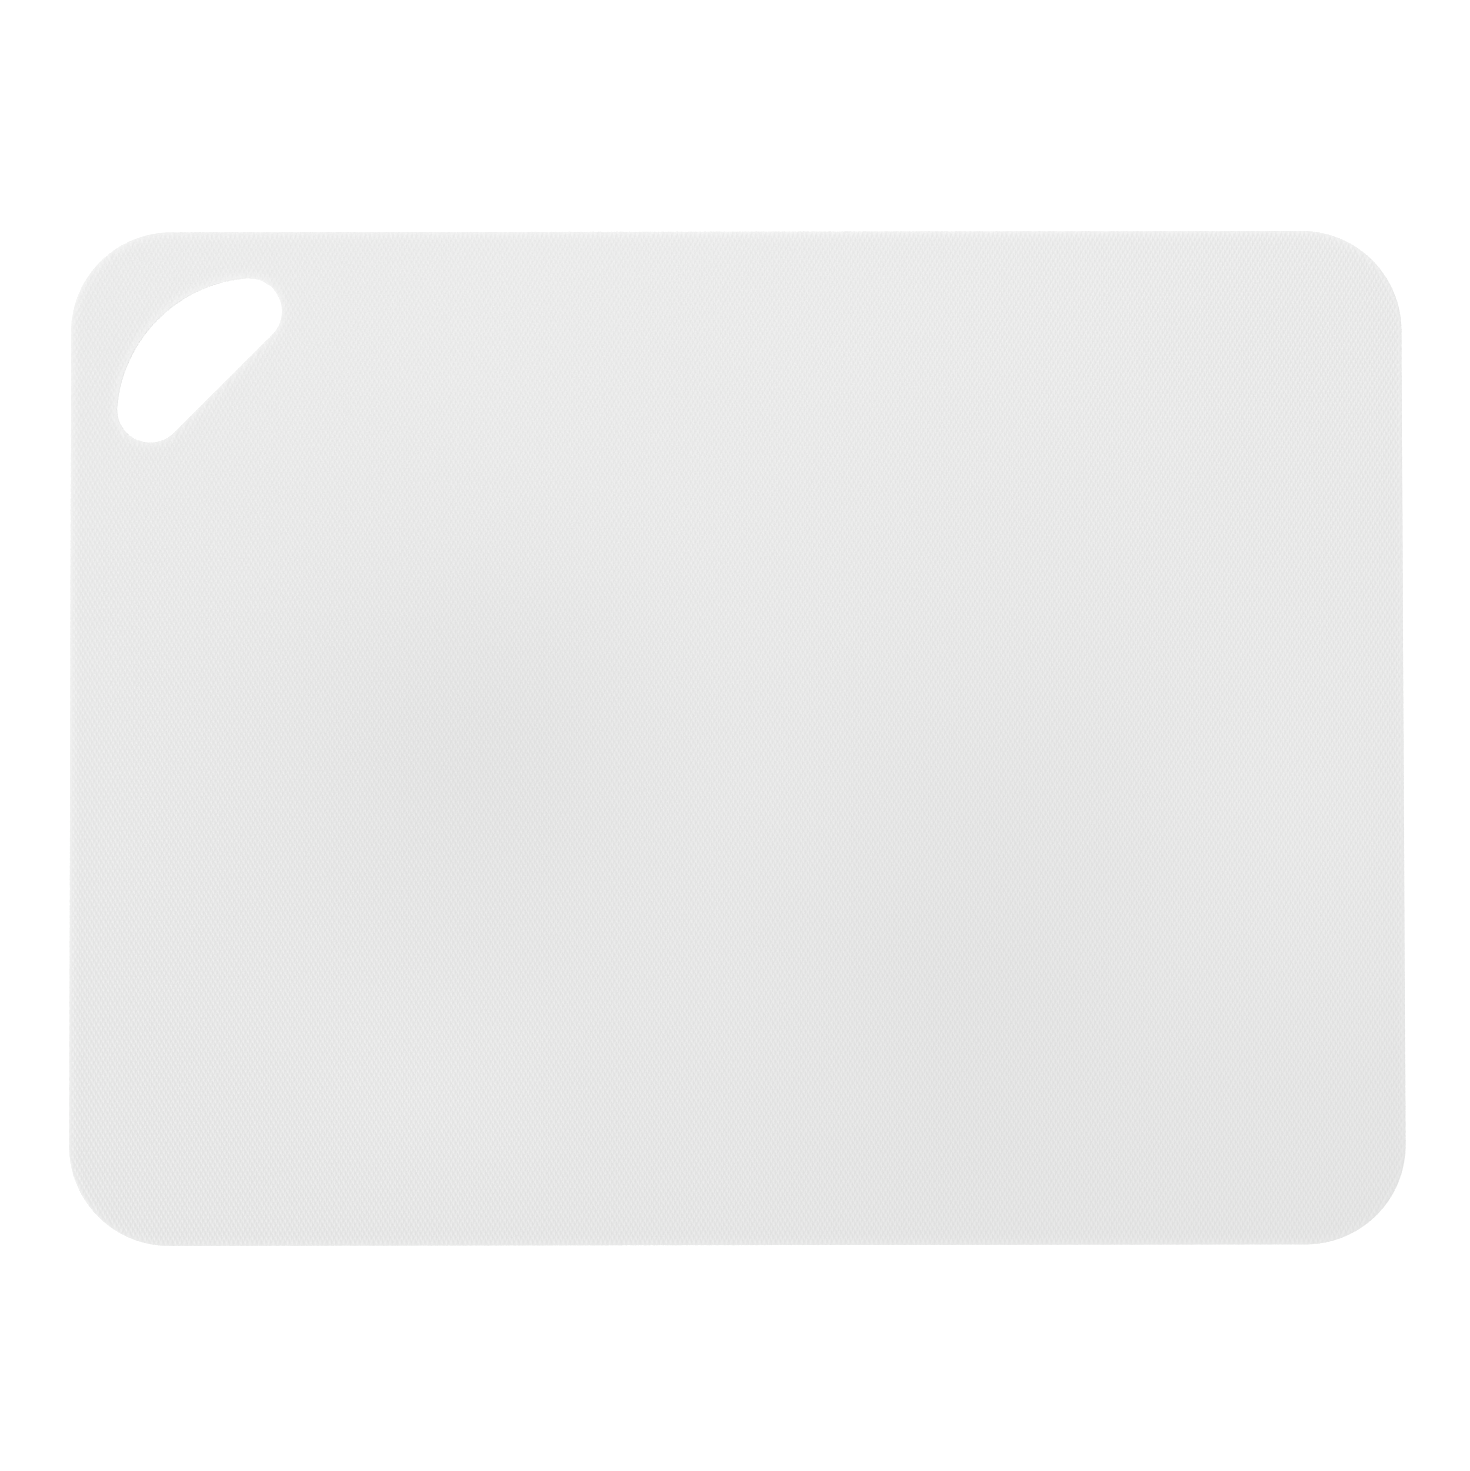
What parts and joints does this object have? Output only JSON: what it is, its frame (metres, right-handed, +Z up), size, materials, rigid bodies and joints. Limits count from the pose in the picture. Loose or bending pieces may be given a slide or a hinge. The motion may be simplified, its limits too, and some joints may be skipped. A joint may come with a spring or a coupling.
{
  "type": "flexible cutting mat",
  "caption": "Thin flexible plastic cutting mat with rounded corners and a slanted hand hole in one corner, whose long sides curl up into a pouring chute.",
  "frame": {"origin": "middle of the underside, on the worktop", "axes": "+X along the long side towards the end without the hand hole, +Y away from the user towards the long side that has the hand hole, +Z up out of the cutting surface"},
  "size_m": [0.38, 0.289, 0.001],
  "materials": {
    "sheet": "satin white polypropylene with a fine embossed diamond texture"
  },
  "bodies": {
    "centre_strip": {"centre_strip": "sheet"},
    "near_strip_1": {"near_strip_1": "sheet"},
    "near_strip_2": {"near_strip_2": "sheet"},
    "near_strip_3": {"near_strip_3": "sheet"},
    "near_strip_4": {"near_strip_4": "sheet"},
    "near_strip_5": {"near_strip_5": "sheet"},
    "near_strip_6": {"near_strip_6": "sheet"},
    "near_strip_7": {"near_strip_7": "sheet"},
    "near_strip_8": {"near_strip_8": "sheet"},
    "near_panel": {"near_panel": "sheet"},
    "far_strip_1": {"far_strip_1": "sheet"},
    "far_strip_2": {"far_strip_2": "sheet"},
    "far_strip_3": {"far_strip_3": "sheet"},
    "far_strip_4": {"far_strip_4": "sheet"},
    "far_strip_5": {"far_strip_5": "sheet"},
    "far_strip_6": {"far_strip_6": "sheet"},
    "far_strip_7": {"far_strip_7": "sheet"},
    "far_strip_8": {"far_strip_8": "sheet"},
    "handle_panel": {"handle_panel": "sheet"}
  },
  "joints": [
    {"name": "near_bend_1", "type": "hinge", "parent": "centre_strip", "child": "near_strip_1", "pos_m": [0, -0.00425, 0.001], "axis": [-1, 0, 0], "range_deg": [0, 6.38], "stiffness_Nm_per_rad": 10},
    {"name": "near_curl", "type": "hinge", "parent": "near_strip_1", "child": "near_strip_2", "pos_m": [0, -0.01275, 0.001], "axis": [-1, 0, 0], "range_deg": [0, 11], "stiffness_Nm_per_rad": 5.8},
    {"name": "near_bend_3", "type": "hinge", "parent": "near_strip_2", "child": "near_strip_3", "pos_m": [0, -0.02125, 0.001], "axis": [-1, 0, 0], "range_deg": [0, 11], "stiffness_Nm_per_rad": 5.8},
    {"name": "near_bend_4", "type": "hinge", "parent": "near_strip_3", "child": "near_strip_4", "pos_m": [0, -0.02975, 0.001], "axis": [-1, 0, 0], "range_deg": [0, 11], "stiffness_Nm_per_rad": 5.8},
    {"name": "near_bend_5", "type": "hinge", "parent": "near_strip_4", "child": "near_strip_5", "pos_m": [0, -0.03825, 0.001], "axis": [-1, 0, 0], "range_deg": [0, 11], "stiffness_Nm_per_rad": 5.8},
    {"name": "near_bend_6", "type": "hinge", "parent": "near_strip_5", "child": "near_strip_6", "pos_m": [0, -0.04675, 0.001], "axis": [-1, 0, 0], "range_deg": [0, 11], "stiffness_Nm_per_rad": 5.8},
    {"name": "near_bend_7", "type": "hinge", "parent": "near_strip_6", "child": "near_strip_7", "pos_m": [0, -0.05525, 0.001], "axis": [-1, 0, 0], "range_deg": [0, 11], "stiffness_Nm_per_rad": 5.8},
    {"name": "near_bend_8", "type": "hinge", "parent": "near_strip_7", "child": "near_strip_8", "pos_m": [0, -0.06375, 0.001], "axis": [-1, 0, 0], "range_deg": [0, 11], "stiffness_Nm_per_rad": 5.8},
    {"name": "near_bend_9", "type": "hinge", "parent": "near_strip_8", "child": "near_panel", "pos_m": [0, -0.07225, 0.001], "axis": [-1, 0, 0], "range_deg": [0, 6.38], "stiffness_Nm_per_rad": 10},
    {"name": "far_bend_1", "type": "hinge", "parent": "centre_strip", "child": "far_strip_1", "pos_m": [0, 0.00425, 0.001], "axis": [1, 0, 0], "range_deg": [0, 6.38], "stiffness_Nm_per_rad": 10},
    {"name": "far_curl", "type": "hinge", "parent": "far_strip_1", "child": "far_strip_2", "pos_m": [0, 0.01275, 0.001], "axis": [1, 0, 0], "range_deg": [0, 11], "stiffness_Nm_per_rad": 5.8},
    {"name": "far_bend_3", "type": "hinge", "parent": "far_strip_2", "child": "far_strip_3", "pos_m": [0, 0.02125, 0.001], "axis": [1, 0, 0], "range_deg": [0, 11], "stiffness_Nm_per_rad": 5.8},
    {"name": "far_bend_4", "type": "hinge", "parent": "far_strip_3", "child": "far_strip_4", "pos_m": [0, 0.02975, 0.001], "axis": [1, 0, 0], "range_deg": [0, 11], "stiffness_Nm_per_rad": 5.8},
    {"name": "far_bend_5", "type": "hinge", "parent": "far_strip_4", "child": "far_strip_5", "pos_m": [0, 0.03825, 0.001], "axis": [1, 0, 0], "range_deg": [0, 11], "stiffness_Nm_per_rad": 5.8},
    {"name": "far_bend_6", "type": "hinge", "parent": "far_strip_5", "child": "far_strip_6", "pos_m": [0, 0.04675, 0.001], "axis": [1, 0, 0], "range_deg": [0, 11], "stiffness_Nm_per_rad": 5.8},
    {"name": "far_bend_7", "type": "hinge", "parent": "far_strip_6", "child": "far_strip_7", "pos_m": [0, 0.05525, 0.001], "axis": [1, 0, 0], "range_deg": [0, 11], "stiffness_Nm_per_rad": 5.8},
    {"name": "far_bend_8", "type": "hinge", "parent": "far_strip_7", "child": "far_strip_8", "pos_m": [0, 0.06375, 0.001], "axis": [1, 0, 0], "range_deg": [0, 11], "stiffness_Nm_per_rad": 5.8},
    {"name": "far_bend_9", "type": "hinge", "parent": "far_strip_8", "child": "handle_panel", "pos_m": [0, 0.07225, 0.001], "axis": [1, 0, 0], "range_deg": [0, 6.38], "stiffness_Nm_per_rad": 10}
  ],
  "couplings": [
    {"joint": "near_bend_1", "follows": "near_curl", "ratio": 0.58},
    {"joint": "near_bend_3", "follows": "near_curl", "ratio": 1},
    {"joint": "near_bend_4", "follows": "near_curl", "ratio": 1},
    {"joint": "near_bend_5", "follows": "near_curl", "ratio": 1},
    {"joint": "near_bend_6", "follows": "near_curl", "ratio": 1},
    {"joint": "near_bend_7", "follows": "near_curl", "ratio": 1},
    {"joint": "near_bend_8", "follows": "near_curl", "ratio": 1},
    {"joint": "near_bend_9", "follows": "near_curl", "ratio": 0.58},
    {"joint": "far_bend_1", "follows": "far_curl", "ratio": 0.58},
    {"joint": "far_bend_3", "follows": "far_curl", "ratio": 1},
    {"joint": "far_bend_4", "follows": "far_curl", "ratio": 1},
    {"joint": "far_bend_5", "follows": "far_curl", "ratio": 1},
    {"joint": "far_bend_6", "follows": "far_curl", "ratio": 1},
    {"joint": "far_bend_7", "follows": "far_curl", "ratio": 1},
    {"joint": "far_bend_8", "follows": "far_curl", "ratio": 1},
    {"joint": "far_bend_9", "follows": "far_curl", "ratio": 0.58}
  ]
}
